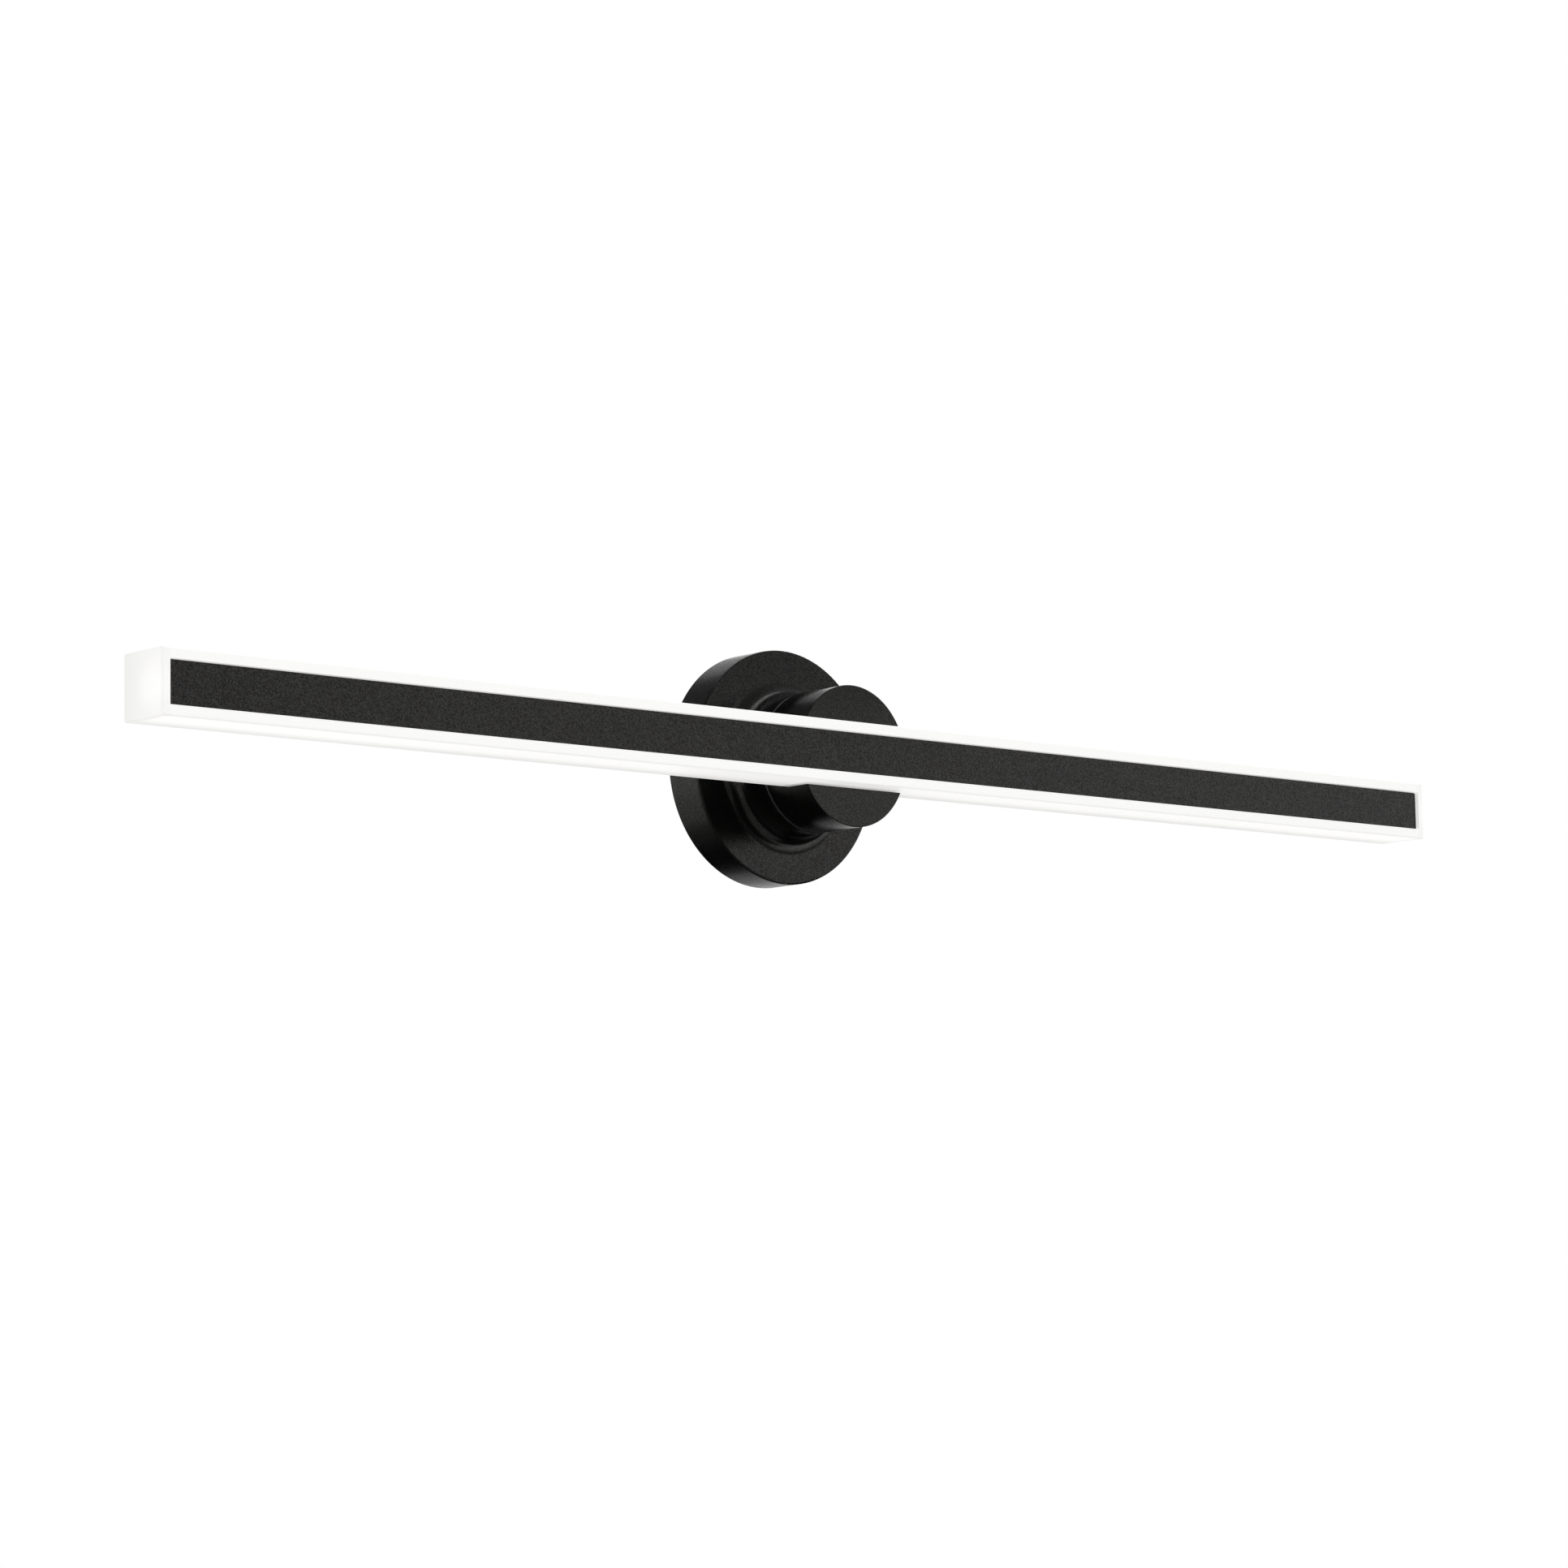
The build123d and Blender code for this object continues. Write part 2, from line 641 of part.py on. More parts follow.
# Diffuser: extruded acrylic channel, open at the front between two thick lips
plate_gap = 0.2
cap_thickness = plate_end_margin - plate_gap
channel_length = bar_length - 2 * cap_thickness
diffuser_wall = 3.0
lip_depth = 5.0
bar_edge_radius = 1.0
lead_hole_radius = 4.0
inner_half = bar_half - diffuser_wall
rail_front = bar_reach - lip_depth
rail_back = bar_back + diffuser_wall
bar_middle = (bar_reach + bar_back) / 2

with BuildPart() as diffuser:
    with BuildSketch(across(-channel_length / 2)):
        with Locations((-bar_middle, 0)):
            RectangleRounded(bar_section, bar_section, bar_edge_radius)
        with Locations((-(rail_front + rail_back) / 2, 0)):
            Rectangle(rail_front - rail_back, 2 * inner_half, mode=Mode.SUBTRACT)
        with Locations((-bar_reach + lip_depth / 2, 0)):
            Rectangle(lip_depth, plate_height + 2 * plate_gap, mode=Mode.SUBTRACT)
    extrude(amount=channel_length)
    with BuildSketch(at_depth(bar_back)):
        Circle(lead_hole_radius)
        with Locations((bar_screw_x, 0), (-bar_screw_x, 0)):
            Circle(screw_radius + hole_gap)
    extrude(amount=diffuser_wall, mode=Mode.SUBTRACT)
diffuser.part.label = "diffuser"
export_step(diffuser.part, "parts/diffuser.step")

# End caps: acrylic plates bonded on the ends of the channel, polished flush with it
cap_edge_radius = 0.9

for name, side in (("end_cap_left", -1), ("end_cap_right", 1)):
    channel_end = room_point(side * channel_length / 2, bar_middle, 0)
    inner_face = Plane(origin=channel_end, x_dir=(0, 1, 0), z_dir=(side, 0, 0))
    with BuildPart() as end_cap:
        with BuildSketch(inner_face):
            RectangleRounded(bar_section, bar_section, bar_edge_radius)
        extrude(amount=cap_thickness)
        outer_face = end_cap.faces().sort_by(Axis.X)[-1 if side > 0 else 0]
        fillet(outer_face.edges(), cap_edge_radius)
    end_cap.part.label = name
    export_step(end_cap.part, f"parts/{name}.step")

# LED rail: aluminium extrusion with a front flange behind the lips, a web and a foot on the back wall
flange_thickness = 2.0
rail_web = 6.0
foot_height = 10.0
foot_thickness = 2.0
rail_end_gap = 0.3
lead_notch_width = 12.0
lead_notch_depth = 7.5
bar_screw_reach = 9.0
bar_screw_tip_gap = 1.0
rail_length = channel_length - 2 * rail_end_gap
web_half = rail_web / 2

with BuildPart() as led_rail:
    with BuildSketch(across(-rail_length / 2)):
        with Locations((-rail_front + flange_thickness / 2, 0)):
            Rectangle(flange_thickness, 2 * (inner_half - hole_gap))
        with Locations((-(rail_front + rail_back) / 2, 0)):
            Rectangle(rail_front - rail_back, rail_web)
        with Locations((-rail_back - foot_thickness / 2, 0)):
            Rectangle(foot_thickness, foot_height)
    extrude(amount=rail_length)
    with BuildSketch(at_depth(rail_back)):
        Rectangle(lead_notch_width, foot_height)
    extrude(amount=lead_notch_depth, mode=Mode.SUBTRACT)
    with BuildSketch(at_depth(rail_back)):
        with Locations((bar_screw_x, 0), (-bar_screw_x, 0)):
            Circle(screw_radius + thread_gap)
    extrude(amount=bar_screw_reach + bar_screw_tip_gap, mode=Mode.SUBTRACT)
led_rail.part.label = "led_rail"
export_step(led_rail.part, "parts/led_rail.step")

# Bar screws: from the back of the hub's web through the bar's back wall into the rail
with BuildPart() as bar_screws:
    with BuildSketch(at_depth(bar_screw_seat)):
        with Locations((bar_screw_x, 0), (-bar_screw_x, 0)):
            Circle(screw_head_radius)
    extrude(amount=-bar_screw_head_height)
    with BuildSketch(at_depth(bar_screw_seat)):
        with Locations((bar_screw_x, 0), (-bar_screw_x, 0)):
            Circle(screw_radius)
    extrude(amount=rail_back + bar_screw_reach - bar_screw_seat)
bar_screws.part.label = "bar_screws"
export_step(bar_screws.part, "parts/bar_screws.step")

# Front plate: black strip on mounting tape, a little behind the front of the lips
tape_thickness = 0.8
tape_height = 18.0
tape_end_gap = 12.0
plate_corner = 1.0
plate_face = bar_reach - plate_recess
plate_back = rail_front + tape_thickness
plate_length = bar_length - 2 * plate_end_margin
tape_length = plate_length - 2 * tape_end_gap

with BuildPart() as plate_tape:
    with BuildSketch(at_depth(rail_front)):
        Rectangle(tape_length, tape_height)
    extrude(amount=tape_thickness)
plate_tape.part.label = "plate_tape"
export_step(plate_tape.part, "parts/plate_tape.step")

with BuildPart() as front_plate:
    with BuildSketch(at_depth(plate_back)):
        RectangleRounded(plate_length, plate_height, plate_corner)
    extrude(amount=plate_face - plate_back)
    fillet(front_plate.faces().sort_by(Axis.Y)[0].edges(), small_edge)
front_plate.part.label = "front_plate"
export_step(front_plate.part, "parts/front_plate.step")

# LED boards: two strips on the upper and lower faces of the rail's web, with rows of LED packages
led_board_thickness = 1.0
led_board_setback = 4.5
led_board_width = 16.0
led_board_back = rail_back + led_board_setback
led_board_front = led_board_back + led_board_width
led_board_end_gap = 6.0
led_pitch = 20.0
led_width = 2.8
led_depth = 3.5
led_height = 0.8
led_board_length = rail_length - 2 * led_board_end_gap
led_board_middle = (led_board_front + led_board_back) / 2
led_count = 2 * int((led_board_length / 2 - led_width) / led_pitch + 0.5)
board_top = web_half + led_board_thickness

for name, base in (("led_board_top", web_half), ("led_board_bottom", -board_top)):
    with BuildPart() as led_board:
        with BuildSketch(Plane.XY.offset(base)):
            with Locations((0, -led_board_middle)):
                Rectangle(led_board_length, led_board_front - led_board_back)
        extrude(amount=led_board_thickness)
    led_board.part.label = name
    export_step(led_board.part, f"parts/{name}.step")

with BuildPart() as led_chips:
    for base in (board_top, -board_top - led_height):
        with BuildSketch(Plane.XY.offset(base)):
            with Locations((0, -led_board_middle - led_depth)):
                with GridLocations(led_pitch, 1, led_count, 1):
                    Rectangle(led_width, led_depth)
        extrude(amount=led_height)
led_chips.part.label = "led_chips"
export_step(led_chips.part, "parts/led_chips.step")

# Board jumpers: two wire links that carry the supply from the upper to the lower board
jumper_radius = 0.6
jumper_x = 4.0
jumper_bend = 1.5
jumper_wall_gap = 1.4
jumper_seat = 4.0
jumper_back = rail_back + jumper_wall_gap + jumper_radius
jumper_front = led_board_back + jumper_seat
jumper_height = board_top + jumper_radius

with BuildPart() as board_jumpers:
    for side in (1, -1):
        with BuildLine():
            FilletPolyline(
                room_point(side * jumper_x, jumper_front, jumper_height),
                room_point(side * jumper_x, jumper_back, jumper_height),
                room_point(side * jumper_x, jumper_back, -jumper_height),
                room_point(side * jumper_x, jumper_front, -jumper_height),
                radius=jumper_bend,
            )
        with BuildSketch(at_depth(jumper_front)):
            with Locations((side * jumper_x, jumper_height)):
                Circle(jumper_radius)
        sweep()
board_jumpers.part.label = "board_jumpers"
export_step(board_jumpers.part, "parts/board_jumpers.step")

# Bar lead and plug: from the upper board through the hollow bolt to the socket behind it
plug_gap = 0.6
plug_length = 6.4
plug_radius = 3.8
barrel_length = 7.0
barrel_radius = 2.75
lead_wall_gap = 0.6
bar_lead_bend = 2.7
plug_front = bolt_back - plug_gap
plug_back = plug_front - plug_length
barrel_back = plug_back - barrel_length
bar_lead_rise = rail_back + lead_radius + lead_wall_gap
bar_lead_height = board_top + lead_radius

with BuildPart() as lead_plug:
    with BuildSketch(at_depth(plug_back)):
        Circle(plug_radius)
    extrude(amount=plug_front - plug_back)
    with BuildSketch(at_depth(barrel_back)):
        Circle(barrel_radius)
    extrude(amount=plug_back - barrel_back)
lead_plug.part.label = "lead_plug"
export_step(lead_plug.part, "parts/lead_plug.step")

with BuildPart() as bar_lead:
    with BuildLine():
        FilletPolyline(
            room_point(0, plug_front, 0),
            room_point(0, bar_lead_rise, 0),
            room_point(0, bar_lead_rise, bar_lead_height),
            room_point(0, led_board_middle, bar_lead_height),
            radius=bar_lead_bend,
        )
    with BuildSketch(at_depth(plug_front)):
        Circle(lead_radius)
    sweep()
bar_lead.part.label = "bar_lead"
export_step(bar_lead.part, "parts/bar_lead.step")

# Driver socket and lead: round socket on the stem's axis, so that the plug can turn in it
socket_length = 11.7
socket_radius = 5.0
driver_lead_run = 5.0
socket_front = plug_back - hole_gap
socket_back = socket_front - socket_length
lead_turn_depth = socket_back - driver_lead_run

with BuildPart() as driver_socket:
    with BuildSketch(at_depth(socket_back)):
        Circle(socket_radius)
    extrude(amount=socket_front - socket_back)
    chamfer(round_edges(driver_socket, socket_radius, socket_back), small_edge)
    with BuildSketch(at_depth(barrel_back - hole_gap)):
        Circle(barrel_radius + running_gap)
    extrude(amount=socket_front - barrel_back + hole_gap, mode=Mode.SUBTRACT)
driver_socket.part.label = "driver_socket"
export_step(driver_socket.part, "parts/driver_socket.step")

with BuildPart() as driver_lead:
    with BuildLine():
        FilletPolyline(
            room_point(0, socket_back, 0),
            room_point(0, lead_turn_depth, 0),
            room_point(driver_lead_x, lead_turn_depth, 0),
            room_point(driver_lead_x, driver_lead_depth, driver_low - driver_lead_run),
            room_point(driver_lead_x, driver_lead_depth, driver_low + lead_inner_reach),
            radius=tight_lead_bend,
        )
    with BuildSketch(at_depth(socket_back)):
        Circle(lead_radius)
    sweep()
driver_lead.part.label = "driver_lead"
export_step(driver_lead.part, "parts/driver_lead.step")
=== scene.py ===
"""Vanity light bar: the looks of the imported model, seen as in the photograph from the lower left."""
import math

import bpy
from mathutils import Matrix, Vector

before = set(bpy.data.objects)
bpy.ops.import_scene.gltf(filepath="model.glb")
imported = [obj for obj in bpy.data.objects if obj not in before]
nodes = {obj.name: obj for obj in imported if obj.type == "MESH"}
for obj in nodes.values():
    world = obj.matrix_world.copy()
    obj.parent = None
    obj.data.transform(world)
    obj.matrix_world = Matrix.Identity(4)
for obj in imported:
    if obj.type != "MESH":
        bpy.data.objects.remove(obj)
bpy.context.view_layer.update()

# Mounting bracket.
# A strap pressed from sheet steel and zinc plated, so it is grey with pale cloudy patches.
# It is screwed to the wall box, and its bent tabs take the canopy's side screws.
cloud_detail = 3.0
grain_detail = 2.0
relief_depth = 0.001


def surface_grain():
    """Node group: cloudy noise at one scale and fine noise at another, both on Object coordinates."""
    group = bpy.data.node_groups.new("surface_grain", "ShaderNodeTree")
    sockets = group.interface
    sockets.new_socket("Cloud Scale", in_out="INPUT", socket_type="NodeSocketFloat")
    sockets.new_socket("Grain Scale", in_out="INPUT", socket_type="NodeSocketFloat")
    sockets.new_socket("Cloud", in_out="OUTPUT", socket_type="NodeSocketFloat")
    sockets.new_socket("Grain", in_out="OUTPUT", socket_type="NodeSocketFloat")
    inputs = group.nodes.new("NodeGroupInput")
    outputs = group.nodes.new("NodeGroupOutput")
    place = group.nodes.new("ShaderNodeTexCoord")
    for output_name, detail in (("Cloud", cloud_detail), ("Grain", grain_detail)):
        noise = group.nodes.new("ShaderNodeTexNoise")
        noise.inputs["Detail"].default_value = detail
        group.links.new(place.outputs["Object"], noise.inputs["Vector"])
        group.links.new(inputs.outputs[f"{output_name} Scale"], noise.inputs["Scale"])
        group.links.new(noise.outputs["Fac"], outputs.inputs[output_name])
    return group


grain_group = surface_grain()


def grained_finish(name, dark, light, roughness, metallic=0.0, cloud=60.0, grain=900.0, bump=0.05):
    """Material coloured from dark to light by the clouds, with a gloss and a bump that follow the grain."""
    material = bpy.data.materials.new(name)
    material.use_nodes = True
    tree = material.node_tree
    shader = tree.nodes["Principled BSDF"]
    shader.inputs["Metallic"].default_value = metallic
    marks = tree.nodes.new("ShaderNodeGroup")
    marks.node_tree = grain_group
    marks.inputs["Cloud Scale"].default_value = cloud
    marks.inputs["Grain Scale"].default_value = grain
    tint = tree.nodes.new("ShaderNodeMix")
    tint.data_type = "RGBA"
    tint.inputs["A"].default_value = (*dark, 1.0)
    tint.inputs["B"].default_value = (*light, 1.0)
    gloss = tree.nodes.new("ShaderNodeMapRange")
    gloss.inputs["To Min"].default_value = roughness[0]
    gloss.inputs["To Max"].default_value = roughness[1]
    relief = tree.nodes.new("ShaderNodeBump")
    relief.inputs["Strength"].default_value = bump
    relief.inputs["Distance"].default_value = relief_depth
    tree.links.new(marks.outputs["Cloud"], tint.inputs["Factor"])
    tree.links.new(tint.outputs["Result"], shader.inputs["Base Color"])
    tree.links.new(marks.outputs["Grain"], gloss.inputs["Value"])
    tree.links.new(gloss.outputs["Result"], shader.inputs["Roughness"])
    tree.links.new(marks.outputs["Grain"], relief.inputs["Height"])
    tree.links.new(relief.outputs["Normal"], shader.inputs["Normal"])
    return material


def dress(material, *names):
    """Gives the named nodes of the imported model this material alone."""
    for name in names:
        mesh = nodes[name].data
        mesh.materials.clear()
        mesh.materials.append(material)


zinc_plate = grained_finish(
    "zinc_plate", dark=(0.42, 0.43, 0.45), light=(0.62, 0.63, 0.65), roughness=(0.28, 0.45),
    metallic=1.0)
dress(zinc_plate, "mounting_bracket")

# Canopy and its two side screws.
# One casting with the rear stub of the stem, blasted and powder coated matt black, with a fine even grain.
# The side screws go through its rim into the bracket's tabs and have the same black coat.
coat_tint = (1.0, 0.94, 0.86, 1.0)
coat_grain_low = 0.38
coat_grain_high = 0.62
coat_sheen_low = 0.05
coat_sheen_high = 0.68
black_coat = grained_finish(
    "black_coat", dark=(0.0015, 0.0015, 0.0015), light=(0.0030, 0.0030, 0.0030), roughness=(0.14, 0.23),
    cloud=35.0, grain=1550.0, bump=0.12)
coat_tree = black_coat.node_tree
coat_shader = coat_tree.nodes["Principled BSDF"]
coat_shader.inputs["Specular IOR Level"].default_value = 0.15
coat_shader.inputs["Specular Tint"].default_value = coat_tint
coat_shader.inputs["Coat Roughness"].default_value = 0.17
coat_marks = coat_tree.nodes["Group"]
coat_sheen = coat_tree.nodes.new("ShaderNodeMapRange")
coat_sheen.inputs["From Min"].default_value = coat_grain_low
coat_sheen.inputs["From Max"].default_value = coat_grain_high
coat_sheen.inputs["To Min"].default_value = coat_sheen_low
coat_sheen.inputs["To Max"].default_value = coat_sheen_high
coat_tree.links.new(coat_marks.outputs["Grain"], coat_sheen.inputs["Value"])
coat_tree.links.new(coat_sheen.outputs["Result"], coat_shader.inputs["Coat Weight"])
dress(black_coat, "canopy", "canopy_screws")

# Wall gasket.
# A ring of closed-cell foam, stuck in the rebate of the canopy's rear rim.
foam = grained_finish(
    "foam", dark=(0.020, 0.020, 0.021), light=(0.045, 0.045, 0.047), roughness=(0.85, 0.98),
    grain=2500.0, bump=0.4)
dress(foam, "wall_gasket")

# LED driver: case, lid and ear screws.
# A moulded white case with a lid pressed into it, screwed to two bosses inside the canopy.
white_moulding = grained_finish(
    "white_moulding", dark=(0.70, 0.70, 0.68), light=(0.78, 0.78, 0.76), roughness=(0.42, 0.58),
    grain=1800.0, bump=0.06)
dress(white_moulding, "driver_case", "driver_lid")
dress(zinc_plate, "driver_screws")

# LED driver: board with its transformer and capacitors.
# A green laminate that carries a taped ferrite transformer and two aluminium cans.
green_laminate = grained_finish(
    "green_laminate", dark=(0.015, 0.13, 0.05), light=(0.030, 0.20, 0.08), roughness=(0.30, 0.42),
    cloud=400.0, bump=0.03)
taped_ferrite = grained_finish(
    "taped_ferrite", dark=(0.05, 0.045, 0.03), light=(0.11, 0.10, 0.05), roughness=(0.45, 0.60))
aluminium_can = grained_finish(
    "aluminium_can", dark=(0.50, 0.51, 0.54), light=(0.62, 0.63, 0.66), roughness=(0.25, 0.35),
    metallic=1.0, bump=0.03)
dress(green_laminate, "driver_board")
dress(taped_ferrite, "driver_transformer")
dress(aluminium_can, "driver_capacitors")

# Terminal block and supply leads.
# A push-in block of white plastic, with a black and a white insulated wire to the driver.
black_insulation = grained_finish(
    "black_insulation", dark=(0.012, 0.012, 0.012), light=(0.022, 0.022, 0.022), roughness=(0.35, 0.45),
    bump=0.03)
white_insulation = grained_finish(
    "white_insulation", dark=(0.70, 0.70, 0.68), light=(0.78, 0.78, 0.76), roughness=(0.35, 0.45),
    bump=0.03)
dress(white_moulding, "terminal_block")
dress(black_insulation, "live_lead")
dress(white_insulation, "neutral_lead")

# Earth screw, ring and lead.
# A green passivated screw holds a brass ring terminal on the bracket, with a green wire from the block.
green_passivate = grained_finish(
    "green_passivate", dark=(0.02, 0.16, 0.06), light=(0.04, 0.24, 0.10), roughness=(0.28, 0.40),
    metallic=0.7)
green_insulation = grained_finish(
    "green_insulation", dark=(0.012, 0.14, 0.045), light=(0.02, 0.19, 0.06), roughness=(0.35, 0.45),
    bump=0.03)
turned_brass = grained_finish(
    "turned_brass", dark=(0.58, 0.42, 0.16), light=(0.70, 0.53, 0.23), roughness=(0.25, 0.38),
    metallic=1.0)
dress(green_passivate, "earth_screw")
dress(turned_brass, "earth_ring")
dress(green_insulation, "earth_lead")

# Turning joint in the stem.
# A hollow steel bolt with washers and a nut holds the head on the stub, and a pin in an arc groove stops it.
# A bare steel slip washer lies in the seam, and its edge shows as a thin bright line round the stem.
bare_steel = grained_finish(
    "bare_steel", dark=(0.31, 0.305, 0.298), light=(0.42, 0.413, 0.405), roughness=(0.25, 0.35),
    metallic=0.95)
dress(zinc_plate, "swivel_bolt", "thrust_washer", "spring_washer", "swivel_nut", "stop_pin")
dress(bare_steel, "slip_washer")

# Driver lead with its round socket, bar lead with its plug.
# White round cable, with black moulded connectors that meet on the stem's axis.
black_moulding = grained_finish(
    "black_moulding", dark=(0.014, 0.014, 0.014), light=(0.024, 0.024, 0.024), roughness=(0.40, 0.55),
    grain=1800.0, bump=0.06)
dress(white_insulation, "driver_lead", "bar_lead")
dress(black_moulding, "driver_socket", "lead_plug")

# Bar hub and the two bar screws.
# The round head of the stem, cast with the slot that the bar sits in, with the canopy's black coat.
# Two zinc plated screws go through it from behind and hold the bar in the slot.
dress(black_coat, "bar_hub")
dress(zinc_plate, "bar_screws")

# LED rail, boards, packages and jumpers.
# An extruded aluminium rail with a white board on each face of its web and a row of LEDs on each board.
# Two short wires with white insulation join the boards.
phosphor_glow = (1.0, 0.86, 0.62, 1.0)
mill_aluminium = grained_finish(
    "mill_aluminium", dark=(0.66, 0.67, 0.68), light=(0.76, 0.77, 0.78), roughness=(0.30, 0.42),
    metallic=1.0)
white_laminate = grained_finish(
    "white_laminate", dark=(0.78, 0.78, 0.76), light=(0.84, 0.84, 0.82), roughness=(0.35, 0.45),
    bump=0.02)
phosphor = grained_finish(
    "phosphor", dark=(0.75, 0.55, 0.10), light=(0.85, 0.66, 0.18), roughness=(0.35, 0.45))
phosphor_shader = phosphor.node_tree.nodes["Principled BSDF"]
phosphor_shader.inputs["Emission Color"].default_value = phosphor_glow
phosphor_shader.inputs["Emission Strength"].default_value = 2.0
dress(mill_aluminium, "led_rail")
dress(white_laminate, "led_board_top", "led_board_bottom")
dress(phosphor, "led_chips")
dress(white_insulation, "board_jumpers")

# Diffuser and end caps.
# Frosted white acrylic, extruded as a channel and closed by bonded plates, lit from inside.
# It glows most behind the front lips, less towards the wall, and in a soft round patch on each end.
bar_front = -0.090
bar_back = -0.0565
channel_glow = ((0.0, 0.335), (0.08, 0.49), (0.45, 0.48), (1.0, 0.29))
end_glow = ((0.0, 0.31), (0.08, 0.39), (0.45, 0.37), (1.0, 0.32))
glow_warmth = (1.0, 0.990, 0.972)
end_patch = 0.055
patch_middle = (-0.081, -0.001)
patch_inner = 0.004
patch_outer = 0.016


def lit_acrylic_finish(name, levels, patch=0.0):
    """Frosted acrylic that glows at these levels from the bar's front to its back, plus a round patch."""
    material = grained_finish(
        name, dark=(0.79, 0.79, 0.78), light=(0.81, 0.81, 0.80), roughness=(0.36, 0.48),
        cloud=25.0, bump=0.02)
    tree = material.node_tree
    shader = tree.nodes["Principled BSDF"]
    place = tree.nodes.new("ShaderNodeTexCoord")
    parts = tree.nodes.new("ShaderNodeSeparateXYZ")
    depth = tree.nodes.new("ShaderNodeMapRange")
    depth.inputs["From Min"].default_value = bar_front
    depth.inputs["From Max"].default_value = bar_back
    glow = tree.nodes.new("ShaderNodeValToRGB")
    glow.color_ramp.interpolation = "EASE"
    while len(glow.color_ramp.elements) < len(levels):
        glow.color_ramp.elements.new(1.0)
    for stop, (position, level) in zip(glow.color_ramp.elements, levels):
        stop.position = position
        stop.color = (*(level * part for part in glow_warmth), 1.0)
    middle = tree.nodes.new("ShaderNodeVectorMath")
    middle.operation = "SUBTRACT"
    middle.inputs[1].default_value = (0.0, *patch_middle)
    across = tree.nodes.new("ShaderNodeVectorMath")
    across.operation = "MULTIPLY"
    across.inputs[1].default_value = (0.0, 1.0, 1.0)
    reach = tree.nodes.new("ShaderNodeVectorMath")
    reach.operation = "LENGTH"
    patch_glow = tree.nodes.new("ShaderNodeMapRange")
    patch_glow.interpolation_type = "SMOOTHSTEP"
    patch_glow.inputs["From Min"].default_value = patch_inner
    patch_glow.inputs["From Max"].default_value = patch_outer
    patch_glow.inputs["To Min"].default_value = patch
    patch_glow.inputs["To Max"].default_value = 0.0
    total = tree.nodes.new("ShaderNodeVectorMath")
    total.operation = "ADD"
    tree.links.new(place.outputs["Object"], parts.inputs["Vector"])
    tree.links.new(parts.outputs["Y"], depth.inputs["Value"])
    tree.links.new(depth.outputs["Result"], glow.inputs["Fac"])
    tree.links.new(place.outputs["Object"], middle.inputs[0])
    tree.links.new(middle.outputs["Vector"], across.inputs[0])
    tree.links.new(across.outputs["Vector"], reach.inputs[0])
    tree.links.new(reach.outputs["Value"], patch_glow.inputs["Value"])
    tree.links.new(glow.outputs["Color"], total.inputs[0])
    tree.links.new(patch_glow.outputs["Result"], total.inputs[1])
    tree.links.new(total.outputs["Vector"], shader.inputs["Emission Color"])
    shader.inputs["Emission Strength"].default_value = 1.0
    return material


lit_channel = lit_acrylic_finish("lit_channel", channel_glow)
lit_end = lit_acrylic_finish("lit_end", end_glow, end_patch)
dress(lit_channel, "diffuser")
dress(lit_end, "end_cap_left", "end_cap_right")

# Front plate and its tape.
# A long strip of sheet metal with the same black coat, stuck to the rail between the channel's lips.
tape_foam = grained_finish(
    "tape_foam", dark=(0.10, 0.10, 0.10), light=(0.14, 0.14, 0.14), roughness=(0.70, 0.85))
dress(tape_foam, "plate_tape")
dress(black_coat, "front_plate")

# Floor.
# A pale studio floor well below the light, which fades into the white surround.
# It is clear from underneath, so that the light can also be looked at from below.
floor_height = -0.62
floor_reach = 3.2
floor_fade_start = 0.5 * floor_reach
floor_paint = (0.90, 0.90, 0.89, 1.0)


def stage_sheet(name, corners):
    """Flat sheet of the studio between its corner points."""
    mesh = bpy.data.meshes.new(name)
    mesh.from_pydata(corners, [], [range(len(corners))])
    sheet = bpy.data.objects.new(name, mesh)
    bpy.context.scene.collection.objects.link(sheet)
    return sheet


def oblong(left, right, low, high):
    """Corners of an oblong drawn flat, from the lower left one round to the upper left one."""
    return ((left, low), (right, low), (right, high), (left, high))


floor_outline = oblong(-floor_reach, floor_reach, -floor_reach, floor_reach)
floor = stage_sheet("floor", [(x, y, floor_height) for x, y in floor_outline])
pale_floor = bpy.data.materials.new("pale_floor")
pale_floor.use_nodes = True
floor_tree = pale_floor.node_tree
floor_shader = floor_tree.nodes["Principled BSDF"]
floor_shader.inputs["Base Color"].default_value = floor_paint
floor_shader.inputs["Roughness"].default_value = 0.8
floor_shader.inputs["Specular IOR Level"].default_value = 0.0
floor_place = floor_tree.nodes.new("ShaderNodeTexCoord")
floor_flat = floor_tree.nodes.new("ShaderNodeMapping")
floor_flat.inputs["Scale"].default_value = (1.0, 1.0, 0.0)
floor_radius = floor_tree.nodes.new("ShaderNodeVectorMath")
floor_radius.operation = "LENGTH"
floor_fade = floor_tree.nodes.new("ShaderNodeMapRange")
floor_fade.interpolation_type = "SMOOTHSTEP"
floor_fade.inputs["From Min"].default_value = floor_fade_start
floor_fade.inputs["From Max"].default_value = floor_reach
floor_fade.inputs["To Min"].default_value = 1.0
floor_fade.inputs["To Max"].default_value = 0.0
floor_side = floor_tree.nodes.new("ShaderNodeNewGeometry")
floor_top = floor_tree.nodes.new("ShaderNodeMath")
floor_top.operation = "SUBTRACT"
floor_top.inputs[0].default_value = 1.0
floor_seen = floor_tree.nodes.new("ShaderNodeMath")
floor_seen.operation = "MULTIPLY"
floor_tree.links.new(floor_place.outputs["Object"], floor_flat.inputs["Vector"])
floor_tree.links.new(floor_flat.outputs["Vector"], floor_radius.inputs[0])
floor_tree.links.new(floor_radius.outputs["Value"], floor_fade.inputs["Value"])
